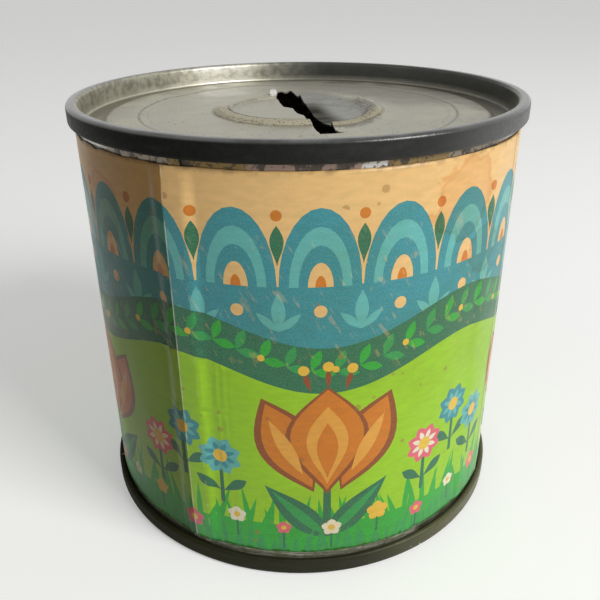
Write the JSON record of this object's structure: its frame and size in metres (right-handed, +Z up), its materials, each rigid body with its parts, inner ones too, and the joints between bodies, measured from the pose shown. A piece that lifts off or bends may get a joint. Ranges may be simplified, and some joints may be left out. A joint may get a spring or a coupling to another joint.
{
  "type": "tin money box",
  "caption": "Round tin money box: a can with a paper label, double-seamed ends and a torn coin slot in its beaded top.",
  "frame": {"origin": "middle of the bottom seam's resting face", "axes": "+Z up along the can's axis, +Y along the coin slot, +X to the slot's pushed-down side"},
  "size_m": [0.0683, 0.0682, 0.065],
  "materials": {
    "body_tinplate": "bright tinplate, a little tarnished",
    "solder": "dull",
    "end_plate": "dull grey tinplate with a dark satin seam band",
    "sealing_compound": "matte",
    "label_paper": "glossy printed paper, aged and stained",
    "label_glue": "matte"
  },
  "bodies": {
    "root": {"can_body": "body_tinplate", "side_seam_solder": "solder", "top_end": "end_plate", "bottom_end": "end_plate", "top_seam_compound": "sealing_compound", "bottom_seam_compound": "sealing_compound", "paper_label": "label_paper", "label_pickup_glue": "label_glue", "label_lap_glue": "label_glue"}
  },
  "joints": []
}
